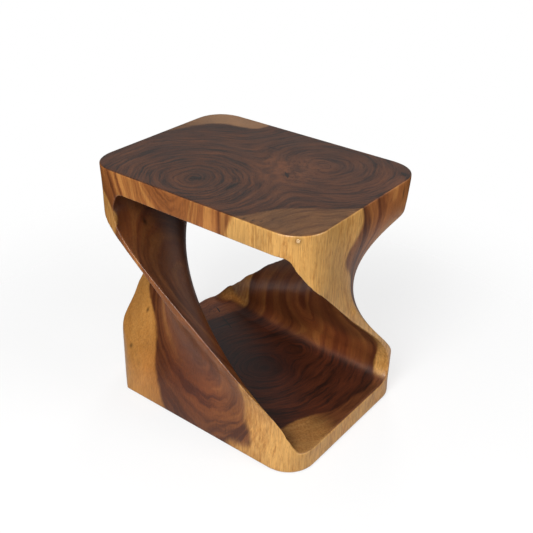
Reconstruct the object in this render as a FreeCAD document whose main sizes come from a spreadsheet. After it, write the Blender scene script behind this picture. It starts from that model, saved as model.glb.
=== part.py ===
# Side table carved from one block of wood whose two walls turn a quarter turn from base to top
import FreeCAD
import Part
import math
import os
import Sketcher

V = FreeCAD.Vector
Constraint = Sketcher.Constraint

# Driving sizes, in millimetres, and turns, in degrees
SIZES = {
    "table_length": 508.0,
    "table_depth": 381.0,
    "table_height": 508.0,
    "base_thickness": 44.0,
    "top_thickness": 46.0,
    "corner_radius": 61.0,
    "top_edge_radius": 2.5,
    "base_edge_chamfer": 2.5,
    "floor_wall": 30.5,
    "ceiling_wall": 60.0,
    "waist_pinch": 57.5,
    "gap_sway": 6.7,
    "mouth_flare": 212.0,
    "back_mouth_flare": 40.0,
    "floor_turn": 85.7,
    "ceiling_turn": 6.8,
    "sway_turn": 3.4,
    "floor_fillet": 27.0,
    "ceiling_fillet": 16.0,
    "scoop_depth": 45.0,
    "scoop_run_out": 0.5,
    "scoop_base_overlap": 16.0,
    "scoop_top_overlap": 30.0,
    "scoop_floor_turn": 90.0,
    "scoop_ceiling_turn": 0.0,
    "wane_front": 64.0,
    "wane_side": 56.0,
    "wane_height": 140.0,
    "fill_depth": 6.0,
    "fill_clearance": 0.05,
    "pith_fill_length": 24.0,
    "pith_fill_width": 9.0,
    "pith_fill_bow": 1.5,
    "ring_shake_fill_length": 42.0,
    "ring_shake_fill_width": 4.5,
    "ring_shake_fill_bow": 4.0,
    "burl_hole_fill_length": 28.0,
    "burl_hole_fill_width": 6.0,
    "burl_hole_fill_bow": 1.0,
    "corner_crack_fill_length": 22.0,
    "corner_crack_fill_width": 6.0,
    "corner_crack_fill_bow": 1.2,
    "floor_check_fill_long_length": 58.0,
    "floor_check_fill_long_width": 4.5,
    "floor_check_fill_long_bow": 1.0,
    "floor_check_fill_short_length": 26.0,
    "floor_check_fill_short_width": 3.5,
    "floor_check_fill_short_bow": 0.8,
    "knot_plug_diameter": 7.0,
    "knot_plug_depth": 12.0,
    "knot_plug_proud": 0.4,
    "knot_plug_drop": 9.0,
    "knot_plug_clearance": 0.05,
    "pad_diameter": 38.0,
    "pad_thickness": 4.0,
    "pad_proud": 1.5,
    "pad_inset": 70.0,
    "pad_clearance": 0.25,
    "cut_overrun": 5.0,
}

# Levels of the hollow, evenly spread, and of the outer scoop, closer together at its two ends
TUNNEL_STEPS = 8
TUNNEL_LEVEL_SHARES = [step / TUNNEL_STEPS for step in range(TUNNEL_STEPS + 1)]
SCOOP_STEPS = 10
SCOOP_LEVEL_SHARES = [(1 - math.cos(math.pi * step / SCOOP_STEPS)) / 2 for step in range(SCOOP_STEPS + 1)]

# How the tunnel's waist and flares are spread over the height: skew towards the floor, sharpness
WAIST_SHARES = (0.83, 2)
FLARE_SHARES = (1.28, 1.23)
LEAST_FLARE_SHARE = 0.023
BACK_FLARE_SHARES = (0.9, 0.8)

# How the outer scoop's turn and its depth are spread over the height
SCOOP_TURN_SHARE = 1.14
SCOOP_SHARES = (0.8, 1.9)

# Each fill: the face that it lies in, its place in shares of the half length and half depth, its turn
FILL_FACES = {
    "pith_fill": "top",
    "ring_shake_fill": "top",
    "burl_hole_fill": "top",
    "corner_crack_fill": "top",
    "floor_check_fill_long": "floor",
    "floor_check_fill_short": "floor",
}
FILL_PLACE_SHARES = {
    "pith_fill": (-0.172, -0.603),
    "ring_shake_fill": (0.122, -0.52),
    "burl_hole_fill": (0.287, 0.012),
    "corner_crack_fill": (0.93, 0.755),
    "floor_check_fill_long": (-0.575, 0.462),
    "floor_check_fill_short": (-0.774, 0.609),
}
FILL_TURNS = {
    "pith_fill": 41.0,
    "ring_shake_fill": 91.0,
    "burl_hole_fill": -42.0,
    "corner_crack_fill": -33.0,
    "floor_check_fill_long": -25.0,
    "floor_check_fill_short": -27.5,
}

# Where the knot's plug sits round the near corner, and the pads' corners
KNOT_PLUG_TURN = -52.0
PAD_CORNERS = {
    "pad_front_left": (-1, -1),
    "pad_front_right": (1, -1),
    "pad_back_left": (-1, 1),
    "pad_back_right": (1, 1),
}

# Heights and reaches that several pieces share
UNDERSIDE = "sizes.pad_proud"
FLOOR = "(sizes.pad_proud + sizes.base_thickness)"
CEILING = "(sizes.table_height - sizes.top_thickness)"
TOP = "sizes.table_height"
HALF_DIAGONAL = "(sqrt(sizes.table_length^2 + sizes.table_depth^2) / 2)"
ORIGIN_POINT = (-1, 1)
SKETCH_AXES = {"x": (-1,), "y": (-2,)}


def worth(expression):
    """Number that an expression on the sheet gives now."""
    return float(sheet.evalExpression(expression))


def datum(body, role):
    """Origin plane or axis of a body."""
    return next(part for part in body.Origin.OriginFeatures if part.Role == role)


def new_body(name):
    """Empty body with its node's name as label."""
    body = doc.addObject("PartDesign::Body", name)
    body.Label = name
    return body


def new_sketch(body, name, height, turn="0", place=("0", "0")):
    """Level sketch at a height, turned about the vertical and shifted in plan."""
    sketch = body.newObject("Sketcher::SketchObject", name)
    sketch.AttachmentSupport = [(datum(body, "XY_Plane"), "")]
    sketch.MapMode = "FlatFace"
    spot = f"vector({place[0]}; {place[1]}; {height})"
    sketch.setExpression("AttachmentOffset", f"placement({spot}; rotation(vector(0; 0; 1); {turn}))")
    return sketch


def size(sketch, name, kind, points, expression):
    """Dimension of a sketch, bound to the sheet."""
    index = sketch.addConstraint(Constraint(kind, *points, worth(expression)))
    sketch.renameConstraint(index, name)
    sketch.setExpression(f"Constraints.{name}", expression)


def end_at(sketch, curve, point):
    """Which end of a curve lies at a point: 1 for its start, 2 for its end."""
    return min((1, 2), key=lambda end: (sketch.getPoint(curve, end) - point).Length)


def draw_rectangle(sketch, left, right, half_width):
    """Closed outline of four lines from left to right, even about the sketch's X axis."""
    low, high, half = worth(left), worth(right), worth(half_width)
    corners = [V(low, -half, 0), V(high, -half, 0), V(high, half, 0), V(low, half, 0)]
    for index, corner in enumerate(corners):
        sketch.addGeometry(Part.LineSegment(corner, corners[(index + 1) % 4]))
    for index in range(4):
        sketch.addConstraint(Constraint("Coincident", index, 2, (index + 1) % 4, 1))
    sketch.addConstraint([
        Constraint("Horizontal", 0),
        Constraint("Vertical", 1),
        Constraint("Horizontal", 2),
        Constraint("Symmetric", 3, 1, 3, 2, *SKETCH_AXES["x"]),
    ])
    size(sketch, "width", "DistanceY", (3, 2, 3, 1), f"2 * {half_width}")
    size(sketch, "run", "DistanceX", (0, 1, 0, 2), f"{right} - ({left})")
    if low < 0:
        size(sketch, "start", "DistanceX", (0, 1, *ORIGIN_POINT), f"-({left})")
    else:
        size(sketch, "start", "DistanceX", (*ORIGIN_POINT, 0, 1), left)


def draw_crescent(sketch, length, width, bow):
    """Outline of two arcs that meet in points at both ends, bent to one side by the bow."""
    reach = worth(length) / 2
    tips = V(-reach, 0, 0), V(reach, 0, 0)
    rises = f"({bow} + {width} / 2)", f"({bow} - {width} / 2)"
    for rise in rises:
        sketch.addGeometry(Part.Arc(tips[0], V(0, worth(rise), 0), tips[1]))
    for tip in tips:
        sketch.addConstraint(Constraint("Coincident", 0, end_at(sketch, 0, tip), 1, end_at(sketch, 1, tip)))
    first, last = end_at(sketch, 0, tips[0]), end_at(sketch, 0, tips[1])
    sketch.addConstraint(Constraint("Symmetric", 0, first, 0, last, *ORIGIN_POINT))
    sketch.addConstraint(Constraint("PointOnObject", 0, first, *SKETCH_AXES["x"]))
    size(sketch, "length", "DistanceX", (0, first, 0, last), length)
    for arc, rise in enumerate(rises):
        size(sketch, f"arc_{arc}", "Radius", (arc,), f"(({length})^2 / 4 + {rise}^2) / (2 * abs({rise}))")


def draw_tunnel_section(sketch, half_gap, flare, back_flare):
    """Section of the hollow: two walls that swell towards each other, the right one cut back at its far end."""
    middle = worth(half_gap)
    edge = middle + worth(flare)
    reach = worth(HALF_DIAGONAL)
    right_low, right_middle = V(edge, -reach, 0), V(middle, 0, 0)
    right_high = V(edge + worth(back_flare), reach, 0)
    left_low, left_high = V(-edge, -reach, 0), V(-edge, reach, 0)
    near_bend = worth(f"({HALF_DIAGONAL}^2 + {flare}^2) / (2 * {flare})")
    far_bend = worth(f"({HALF_DIAGONAL}^2 + ({flare} + {back_flare})^2) / (2 * ({flare} + {back_flare}))")
    near_half = V(middle + near_bend - math.sqrt(near_bend ** 2 - reach ** 2 / 4), -reach / 2, 0)
    far_half = V(middle + far_bend - math.sqrt(far_bend ** 2 - reach ** 2 / 4), reach / 2, 0)
    sketch.addGeometry(Part.Arc(right_low, near_half, right_middle))
    sketch.addGeometry(Part.Arc(right_middle, far_half, right_high))
    sketch.addGeometry(Part.LineSegment(right_high, left_high))
    sketch.addGeometry(Part.Arc(left_high, -right_middle, left_low))
    sketch.addGeometry(Part.LineSegment(left_low, right_low))
    sketch.addConstraint([
        Constraint("Coincident", 0, end_at(sketch, 0, right_middle), 1, end_at(sketch, 1, right_middle)),
        Constraint("Coincident", 1, end_at(sketch, 1, right_high), 2, 1),
        Constraint("Coincident", 3, end_at(sketch, 3, left_high), 2, 2),
        Constraint("Coincident", 3, end_at(sketch, 3, left_low), 4, 1),
        Constraint("Coincident", 0, end_at(sketch, 0, right_low), 4, 2),
        Constraint("Horizontal", 2),
        Constraint("Symmetric", 4, 1, 4, 2, *SKETCH_AXES["y"]),
        Constraint("Symmetric", 2, 2, 4, 1, *SKETCH_AXES["x"]),
        Constraint("PointOnObject", 0, end_at(sketch, 0, right_middle), *SKETCH_AXES["x"]),
        Constraint("PointOnObject", 0, 3, *SKETCH_AXES["x"]),
        Constraint("PointOnObject", 1, 3, *SKETCH_AXES["x"]),
        Constraint("Equal", 0, 3),
    ])
    size(sketch, "mouth", "DistanceX", (4, 1, 4, 2), f"2 * ({half_gap} + {flare})")
    size(sketch, "back_mouth", "DistanceX", (2, 2, 2, 1), f"2 * ({half_gap} + {flare}) + {back_flare}")
    size(sketch, "reach", "DistanceY", (4, 1, 2, 2), f"2 * {HALF_DIAGONAL}")
    size(sketch, "middle", "DistanceX", (*ORIGIN_POINT, 0, end_at(sketch, 0, right_middle)), half_gap)


def ease(share, skew=1):
    """Smooth step from 0 to 1, skewed towards one end."""
    skewed_share = share ** skew
    return skewed_share ** 2 * (3 - 2 * skewed_share)


def swell(share, skew, power):
    """Hump that is 0 at both ends of the height and 1 near its middle."""
    return max(math.sin(math.pi * share ** skew), 0.0) ** power


def between(low, high, share):
    """Value part of the way from one size to another."""
    return f"({low} + ({high} - {low}) * {share:.6f})"


def loft_cut(body, name, sections):
    """Cut that runs smoothly through level sections."""
    cut = body.newObject("PartDesign::SubtractiveLoft", name)
    cut.Profile = (sections[0], [""])
    cut.Sections = [(section, [""]) for section in sections[1:]]
    cut.Ruled = False
    return cut


def ease_edges(body, name, kind, base, test, reach):
    """Rounding or chamfer of those edges of the last feature that pass a test."""
    doc.recompute()
    edges = [f"Edge{number}" for number, edge in enumerate(base.Shape.Edges, 1) if test(edge)]
    eased = body.newObject(f"PartDesign::{kind}", name)
    eased.Base = (base, edges)
    eased.setExpression("Radius" if kind == "Fillet" else "Size", reach)
    return eased


def is_level_at(edge, height):
    """True for an edge that lies flat at a height, to within the finest fit."""
    finest = worth("sizes.fill_clearance")
    return edge.BoundBox.ZLength < finest and abs(edge.BoundBox.ZMin - worth(height)) < finest


def is_wall_line(edge, height):
    """True for an edge where a wall of the hollow meets its floor or its ceiling."""
    return is_level_at(edge, height) and is_curved(edge) and edge.Length > worth("sizes.table_depth / 3")


def cut_tunnel(body):
    """Tunnel that turns a quarter turn, with hollowed corners along its floor and its ceiling."""
    sections = []
    floor_gap = "(sizes.table_depth - 2 * sizes.floor_wall)"
    ceiling_gap = "(sizes.table_length - 2 * sizes.ceiling_wall)"
    for level, share in enumerate(TUNNEL_LEVEL_SHARES):
        eased_share = ease(share)
        sway_share = math.sin(2 * math.pi * share)
        flare_share = max(swell(share, *FLARE_SHARES), LEAST_FLARE_SHARE)
        back_flare_share = swell(share, *BACK_FLARE_SHARES)
        turn = between("sizes.floor_turn", "sizes.ceiling_turn", eased_share)
        turn = f"({turn} + sizes.sway_turn * {sway_share:.6f})"
        gap = between(floor_gap, ceiling_gap, eased_share)
        pinch = f"(sizes.waist_pinch * {swell(share, *WAIST_SHARES):.6f} + sizes.gap_sway * {sway_share:.6f})"
        half_gap = f"({gap} / 2 - {pinch})"
        flare = f"(sizes.mouth_flare * {flare_share:.6f})"
        back_flare = f"(sizes.back_mouth_flare * {back_flare_share:.6f})"
        section = new_sketch(body, f"tunnel_section_{level}", between(FLOOR, CEILING, share), turn)
        draw_tunnel_section(section, half_gap, flare, back_flare)
        sections.append(section)
    tunnel = loft_cut(body, "tunnel", sections)
    feet = lambda edge: is_wall_line(edge, FLOOR)
    heads = lambda edge: is_wall_line(edge, CEILING)
    foot = ease_edges(body, "floor_hollow", "Fillet", tunnel, feet, "sizes.floor_fillet")
    return ease_edges(body, "ceiling_hollow", "Fillet", foot, heads, "sizes.ceiling_fillet")


def is_curved(edge):
    """True for an edge that isn't a straight line."""
    return not isinstance(edge.Curve, (Part.Line, Part.LineSegment))


def plan_reach(shape):
    """Distance in plan from the table's middle to a shape's centre."""
    return math.hypot(shape.CenterOfMass.x, shape.CenterOfMass.y)


def cut_scoops(body):
    """Two outer scoops, half a turn apart, that follow the twist and run out at the base and top."""
    sections = []
    low, high = f"({FLOOR} - sizes.scoop_base_overlap)", f"({CEILING} + sizes.scoop_top_overlap)"
    for level, share in enumerate(SCOOP_LEVEL_SHARES):
        height = between(low, high, share)
        rise_share = worth(f"({height} - {FLOOR}) / ({CEILING} - {FLOOR})")
        eased_share = ease(min(max(rise_share, 0), 1), SCOOP_TURN_SHARE)
        depth_share = swell(share, *SCOOP_SHARES)
        turn = between("sizes.scoop_floor_turn", "sizes.scoop_ceiling_turn", eased_share)
        face = between("sizes.table_depth", "sizes.table_length", eased_share)
        start = f"({face} / 2 + sizes.scoop_run_out - sizes.scoop_depth * {depth_share:.6f})"
        section = new_sketch(body, f"scoop_section_{level}", height, turn)
        draw_rectangle(section, start, f"({HALF_DIAGONAL} + sizes.scoop_depth)", HALF_DIAGONAL)
        sections.append(section)
    scoop = loft_cut(body, "scoop", sections)
    doc.recompute()
    pair = body.newObject("PartDesign::PolarPattern", "scoop_pair")
    pair.Originals = [scoop]
    pair.Axis = (datum(body, "Z_Axis"), [""])
    pair.Angle = 360
    pair.Occurrences = 2
    body.Tip = pair
    return pair


def fill_sketch(body, name, clearance):
    """Outline of a fill or of its recess, on the top or on the hollow's floor."""
    height = TOP if FILL_FACES[name] == "top" else FLOOR
    place_shares = FILL_PLACE_SHARES[name]
    place = (
        f"sizes.table_length / 2 * {place_shares[0]}",
        f"sizes.table_depth / 2 * {place_shares[1]}",
    )
    sketch = new_sketch(body, f"{name}_outline", height, str(FILL_TURNS[name]), place)
    length = f"(sizes.{name}_length - 2 * {clearance})"
    width = f"(sizes.{name}_width - 2 * {clearance})"
    draw_crescent(sketch, length, width, f"sizes.{name}_bow")
    return sketch


def pocket(body, name, sketch, depth, upward):
    """Straight cut from a level sketch into the wood."""
    cut = body.newObject("PartDesign::Pocket", name)
    cut.Profile = sketch
    cut.Reversed = upward
    cut.setExpression("Length", depth)
    return cut


def wane_sketch(body):
    """Triangle over the lower front left corner, where the trunk's round outside cuts the block short."""
    place = ("-sizes.table_length / 2", "-sizes.table_depth / 2")
    sketch = new_sketch(body, "wane_outline", UNDERSIDE, "0", place)
    over = "sizes.cut_overrun"
    front = f"(sizes.wane_front + {over} * sizes.wane_front / sizes.wane_side)"
    side = f"(sizes.wane_side + {over} * sizes.wane_side / sizes.wane_front)"
    corner = V(-worth(over), -worth(over), 0)
    ends = [corner, V(worth(front), corner.y, 0), V(corner.x, worth(side), 0)]
    for index, end in enumerate(ends):
        sketch.addGeometry(Part.LineSegment(end, ends[(index + 1) % 3]))
    for index in range(3):
        sketch.addConstraint(Constraint("Coincident", index, 2, (index + 1) % 3, 1))
    sketch.addConstraint([Constraint("Horizontal", 0), Constraint("Vertical", 2)])
    size(sketch, "over_side", "DistanceX", (0, 1, *ORIGIN_POINT), over)
    size(sketch, "over_front", "DistanceY", (0, 1, *ORIGIN_POINT), over)
    size(sketch, "front", "DistanceX", (*ORIGIN_POINT, 0, 2), front)
    size(sketch, "side", "DistanceY", (*ORIGIN_POINT, 2, 1), side)
    return sketch


def pad_place(name):
    """Plan centre of a pad under its corner."""
    sign_x, sign_y = PAD_CORNERS[name]
    return (
        f"{sign_x} * (sizes.table_length / 2 - sizes.pad_inset)",
        f"{sign_y} * (sizes.table_depth / 2 - sizes.pad_inset)",
    )


def circle_sketch(body, name, height, place, diameter):
    """Level circle at a place."""
    sketch = new_sketch(body, name, height, "0", place)
    sketch.addGeometry(Part.Circle(V(0, 0, 0), V(0, 0, 1), worth(diameter) / 2))
    sketch.addConstraint(Constraint("Coincident", 0, 3, *ORIGIN_POINT))
    size(sketch, "diameter", "Diameter", (0,), diameter)
    return sketch


def plug_placement():
    """Inner end of the knot's plug, on a line through the near corner's centre, pointing outwards."""
    facing = f"{KNOT_PLUG_TURN} deg"
    reach = "(sizes.corner_radius - sizes.knot_plug_depth)"
    spot = (
        f"vector(sizes.table_length / 2 - sizes.corner_radius + {reach} * cos({facing});"
        f" sizes.corner_radius - sizes.table_depth / 2 + {reach} * sin({facing});"
        f" sizes.table_height - sizes.knot_plug_drop)"
    )
    lying = "rotation(vector(0; 1; 0); 90)"
    return f"placement({spot}; rotation(vector(0; 0; 1); {KNOT_PLUG_TURN}) * {lying})"


def make_carved_body():
    """The one block of wood, carved through and hollowed on the outside."""
    body = new_body("carved_body")
    outline = new_sketch(body, "block_outline", UNDERSIDE)
    draw_rectangle(outline, "(-sizes.table_length / 2)", "(sizes.table_length / 2)", "(sizes.table_depth / 2)")
    block = body.newObject("PartDesign::Pad", "block")
    block.Profile = outline
    block.setExpression("Length", f"sizes.table_height - {UNDERSIDE}")

    def is_corner(edge):
        return edge.BoundBox.ZLength > worth("sizes.base_thickness")

    top_edges = lambda edge: is_level_at(edge, TOP)
    base_edges = lambda edge: is_level_at(edge, UNDERSIDE)
    corners = ease_edges(body, "corner_rounding", "Fillet", block, is_corner, "sizes.corner_radius")
    top_edge = ease_edges(body, "top_edge", "Fillet", corners, top_edges, "sizes.top_edge_radius")
    ease_edges(body, "base_edge", "Chamfer", top_edge, base_edges, "sizes.base_edge_chamfer")
    pocket(body, "wane", wane_sketch(body), "sizes.wane_height", True)
    cut_tunnel(body)
    cut_scoops(body)
    for name in FILL_FACES:
        pocket(body, f"{name}_recess", fill_sketch(body, name, "0"), "sizes.fill_depth", False)
    for name in PAD_CORNERS:
        seat = circle_sketch(
            body, f"{name}_circle", UNDERSIDE, pad_place(name), "sizes.pad_diameter + 2 * sizes.pad_clearance")
        pocket(body, f"{name}_seat", seat, "sizes.pad_thickness - sizes.pad_proud", True)
    hole = body.newObject("PartDesign::SubtractiveCylinder", "knot_plug_hole")
    hole.setExpression("Radius", "sizes.knot_plug_diameter / 2 + sizes.knot_plug_clearance")
    hole.setExpression("Height", "sizes.knot_plug_depth + sizes.cut_overrun")
    hole.setExpression("Placement", plug_placement())
    return body


def make_fill(name):
    """Dark filler that lies flush in its recess."""
    body = new_body(name)
    fill = body.newObject("PartDesign::Pad", f"{name}_solid")
    fill.Profile = fill_sketch(body, name, "sizes.fill_clearance")
    fill.Reversed = True
    fill.setExpression("Length", "sizes.fill_depth")
    return body


def make_knot_plug():
    """Round plug with an eased outer rim, let into the near corner."""
    body = new_body("knot_plug")
    stem = body.newObject("PartDesign::AdditiveCylinder", "stem")
    stem.setExpression("Radius", "sizes.knot_plug_diameter / 2")
    stem.setExpression("Height", "sizes.knot_plug_depth + sizes.knot_plug_proud")
    stem.setExpression("Placement", plug_placement())
    doc.recompute()
    middle_reach = plan_reach(stem.Shape)
    rims = lambda edge: is_curved(edge) and plan_reach(edge) > middle_reach
    ease_edges(body, "eased_rim", "Chamfer", stem, rims, "sizes.knot_plug_proud")
    return body


def make_pad(name):
    """Felt disc that stands a little proud of the underside."""
    body = new_body(name)
    felt = body.newObject("PartDesign::Pad", f"{name}_felt")
    felt.Profile = circle_sketch(body, f"{name}_disc", "0", pad_place(name), "sizes.pad_diameter")
    felt.setExpression("Length", "sizes.pad_thickness")
    return body


def make_sheet():
    """Spreadsheet that holds every driving size under its own name."""
    cells = doc.addObject("Spreadsheet::Sheet", "sizes")
    for row, (name, number) in enumerate(SIZES.items(), 1):
        cells.set(f"A{row}", name)
        cells.set(f"B{row}", str(number))
        cells.setAlias(f"B{row}", name)
    doc.recompute()
    return cells


doc = FreeCAD.newDocument("twisted_side_table")
sheet = make_sheet()
bodies = [make_carved_body()]
bodies += [make_fill(name) for name in FILL_FACES]
bodies += [make_knot_plug()]
bodies += [make_pad(name) for name in PAD_CORNERS]
doc.recompute()

# Every object has to be sound before anything is written
for part in doc.Objects:
    if "Invalid" in part.State or "Error" in part.State:
        raise RuntimeError(f"{part.Label} failed: {part.State}")
for body in bodies:
    if body.Shape.isNull() or not body.Shape.isValid():
        raise RuntimeError(f"{body.Label} has no sound solid")
    if len(body.Shape.Solids) != 1:
        raise RuntimeError(f"{body.Label} isn't one solid")

os.makedirs("parts", exist_ok=True)
for body in bodies:
    body.Shape.exportStep(f"parts/{body.Label}.step")
    print(f"{body.Label}: {body.Shape.Volume / 1000:.2f} cubic centimetres")
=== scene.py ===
"""Looks of a side table carved from one block of wood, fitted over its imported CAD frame."""

import math

import bmesh
import bpy
from bpy.props import FloatProperty, FloatVectorProperty, IntProperty, PointerProperty
from mathutils import Matrix, Vector
from mathutils.kdtree import KDTree


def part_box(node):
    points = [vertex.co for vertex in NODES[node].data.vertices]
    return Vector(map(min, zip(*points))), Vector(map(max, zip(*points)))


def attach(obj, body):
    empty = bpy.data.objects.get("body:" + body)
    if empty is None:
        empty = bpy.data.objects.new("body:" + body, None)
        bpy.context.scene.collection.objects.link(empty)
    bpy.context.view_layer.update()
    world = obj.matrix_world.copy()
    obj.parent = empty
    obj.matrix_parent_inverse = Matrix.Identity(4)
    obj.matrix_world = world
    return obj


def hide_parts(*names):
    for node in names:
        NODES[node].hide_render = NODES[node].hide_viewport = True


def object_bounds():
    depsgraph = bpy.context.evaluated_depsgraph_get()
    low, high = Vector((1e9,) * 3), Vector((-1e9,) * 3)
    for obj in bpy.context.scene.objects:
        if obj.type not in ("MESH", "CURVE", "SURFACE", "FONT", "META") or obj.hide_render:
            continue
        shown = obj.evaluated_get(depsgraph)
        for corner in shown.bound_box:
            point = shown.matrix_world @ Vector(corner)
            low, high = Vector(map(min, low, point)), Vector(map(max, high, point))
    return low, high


bl_info = {
    "name": "Carved Twist Table",
    "version": (1, 0, 0),
    "blender": (4, 5, 0),
    "location": "View3D > Sidebar > Table",
    "description": "Carves, fills and oils a twisted side table and sets its studio",
    "category": "Object",
}

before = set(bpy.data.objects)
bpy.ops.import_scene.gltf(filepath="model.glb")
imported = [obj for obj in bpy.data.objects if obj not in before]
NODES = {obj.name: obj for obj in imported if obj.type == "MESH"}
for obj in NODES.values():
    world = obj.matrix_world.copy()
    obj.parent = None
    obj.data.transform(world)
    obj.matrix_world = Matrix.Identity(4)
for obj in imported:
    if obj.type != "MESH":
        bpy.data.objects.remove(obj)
CAD_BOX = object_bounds()
FILLS = sorted(name for name in NODES if name.endswith("_fill") or "_fill_" in name)
PADS = sorted(name for name in NODES if name.startswith("pad_"))
PAD_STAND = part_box("carved_body")[0].z - CAD_BOX[0].z
TO_MM = 1000.0
HALF_LENGTH, HALF_DEPTH, HEIGHT = (TO_MM * at for at in CAD_BOX[1])

# How close places have to lie to count as joined, in a recess, flush or level, in metres
JOIN_REACH = 1e-6
RECESS_REACH = 0.0004
FLUSH_REACH = 0.00002
LEVEL_REACH = 0.0009
LEVEL_DIGITS = 5

# Shares of a unit normal beyond which a face counts as flat, or as part of the outside
FLAT_SHARE = 0.995
OUTSIDE_SHARE = 0.25

# Share of the way to its neighbours that one pass of sanding moves a point
SANDING_SHARE = 0.5

# How much steeper than even the sanding of a run-out fades, so that its middle is sanded in full
RUN_OUT_FADE = 1.6

# Where thin rims run out and creases meet, to be sanded to one flowing line: place, reach in mm
RUN_OUTS = (
    ((225, -181, 80), 50),
    ((-218, 182, 74), 50),
    ((-165, 178, 104), 55),
    ((-125, 178, 126), 50),
    ((-252, -125, 152), 65),
    ((253, 165, 440), 55),
    ((-253, -165, 440), 55),
)

# Where thin ends of rims are drawn up to meet the corners straight: place, reach and rise in mm
RIM_ENDS = (
    ((229, -176, 62), 25, 13),
    ((-224, 172, 56), 32, 12),
    ((-194, 181, 85), 24, 5),
    ((-166, 180, 104), 40, 10),
    ((-138, 179, 121), 34, 7),
)

# The two piths: x and y on the floor in mm, each with its lean per mm of height above the floor
FLOOR_LEVEL = 44
MAIN_PITH = ((22, -0.1444), (7, -0.265))
SECOND_PITH = ((40, 0.1315), (102, -0.0345))

# Rings: how much later the second stem's start, and over what distance the two stems' meet, in mm
STEM_DELAY = 30
RING_BLEND = 70
HEART_BLEND = 120

# The burled wood between the stems: place in plan, and how far sways and swirls push rings, in mm
CROTCH = (62, 22)
SWAY_PUSH = 30
SWIRL_PUSH = 70
EDGE_SWAY = 14
EDGE_SWIRL = 8

# Reach of the heartwood in mm at the floor, and its growth up to the top: at the centre, and what
# is added at the right end and at the back
HEART_REACH = (196, -11.5, -25.5)
HEART_GROWTH = (22, -13.6, 59.7)

# Spots where the heartwood reaches farther or less far than that: place, reach and bulge in mm
HEART_BULGES = (
    ((150, -188, 36), 70, 20),
    ((190, -75, 45), 80, -18),
    ((239, 102, 45), 70, 15),
    ((248, -59, 416), 80, 28),
    ((89, -190, 465), 60, -24),
    ((-105, 165, 508), 90, -34),
    ((-215, 105, 508), 80, 14),
    ((-215, -190, 410), 75, -36),
    ((-152, -135, 155), 120, -26),
    ((-82, -190, 15), 70, 8),
)

# Value about which a noise varies
MIDDLE = 0.5

# Textures of the wood: width and length along the grain in mm, detail and roughness of the noise
TEXTURES = {
    "sway": (85, 260, 3, 0.55),
    "swirl": (20, 60, 4, 0.6),
    "fibres": (2.4, 55, 4, 0.65),
    "pores": (1.9, 14, 3, 0.55),
    "flecks": (5, 22, 4, 0.65),
    "cloud": (60, 140, 4, 0.55),
    "veins": (9, 60, 3, 0.6),
}

# Patterns that follow the rings: spacing across them in mm, detail and roughness of the noise
LAYERS = {
    "fine": (5, 6, 0.68),
    "bands": (15, 6, 0.64),
    "broad": (50, 2, 0.5),
}

# Patterns mixed from two others: share of the first of them
MIXES = {
    "streak": 0.72,
    "ring": 0.62,
    "sap_mottle": 0.55,
    "burl_mottle": 0.6,
}

# Streaks get lighter with height: share of the height where they are even, and gain up to the top
STREAK_LEVEL = 0.7
STREAK_GAIN = 0.08

# Values between which each feature of the materials comes in
LIMITS = {
    "crotch": (95, 10),
    "crotch_height": (250, 470),
    "sapwood": (-4, 4),
    "heart_edge": (-34, -3),
    "end_grain": (0.55, 0.93),
    "inside": (-0.05, -0.5),
    # shade_length, shade_height: where the painted shade on the lower left comes in, in mm
    "shade_length": (130, -60),
    "shade_height": (340, 200),
    "heart_streaks": (0.39, 0.50),
    "light_streaks": (0.495, 0.60),
    "sap_streaks": (0.38, 0.55),
    "rings": (0.38, 0.54),
    "light_rings": (0.50, 0.66),
    "sap_rings": (0.38, 0.58),
    "pith": (75, 5),
    "burl": (0.11, 0.26),
    # floor: heights in mm between which the painted shade of the low end grain comes in
    "floor": (300, 150),
    "dish": (0.0, 0.6),
    "pores": (0.57, 0.70),
    "veins": (0.035, 0.006),
    "filler_grit": (0.35, 0.7),
    "plug_speckle": (0.35, 0.65),
    "felt_fuzz": (0.3, 0.7),
}

# How much of each feature shows where it is full; inside, shaded_heart and shaded_sap are shares
# of painted shade
SHARES = {
    "inside": 0.68,
    "shaded_heart": 0.6,
    "shaded_sap": 0.75,
    "burl": 0.8,
    "dish": 0.45,
    "cloud": 0.9,
}

# Features that darken the wood: how much of them shows, and the grey that they multiply it by
DARKENING = {
    "edge_along": (0.5, 0.6),
    "edge_across": (0.6, 0.5),
    "pith": (0.45, 0.45),
    "pores": (0.5, 0.45),
    "checks": (0.9, 0.12),
    "marks": (0.85, 0.18),
}

# Fine noise of the small pieces: scale per metre, detail and roughness
GRIT = {
    "dark_filler": (700.0, 4, 0.6),
    "plug_wood": (900.0, 3, 0.6),
    "felt": (1500.0, 5, 0.7),
}

# Relief of the materials: strength and depth in metres, and how high the wood's features stand
RELIEF = {
    "oiled_wood": (0.35, 0.0006),
    "dark_filler": (0.5, 0.0004),
    "felt": (0.9, 0.0005),
}
HEIGHTS = {"fibres": 0.4, "pores": -0.6, "ring": 0.4}

# Roughness of the materials, what features add to it, and the sheen of the felt
ROUGHNESS = {"oiled_wood": 0.34, "dark_filler": 0.42, "plug_wood": 0.38, "felt": 0.95}
ROUGHENING = {"pores": 0.16, "end_grain": 0.12, "cloud": 0.12, "filler": 0.25, "plug": 0.2}
FELT_SHEEN = 0.4

# Light sapwood at the top's back, and the dished floor near the front: place and reaches in mm
LIGHT_SAP = ((-190, 160, 508), (190, 120, 60))
DISH = ((205, -135, 44), (130, 130, 60))
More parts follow.
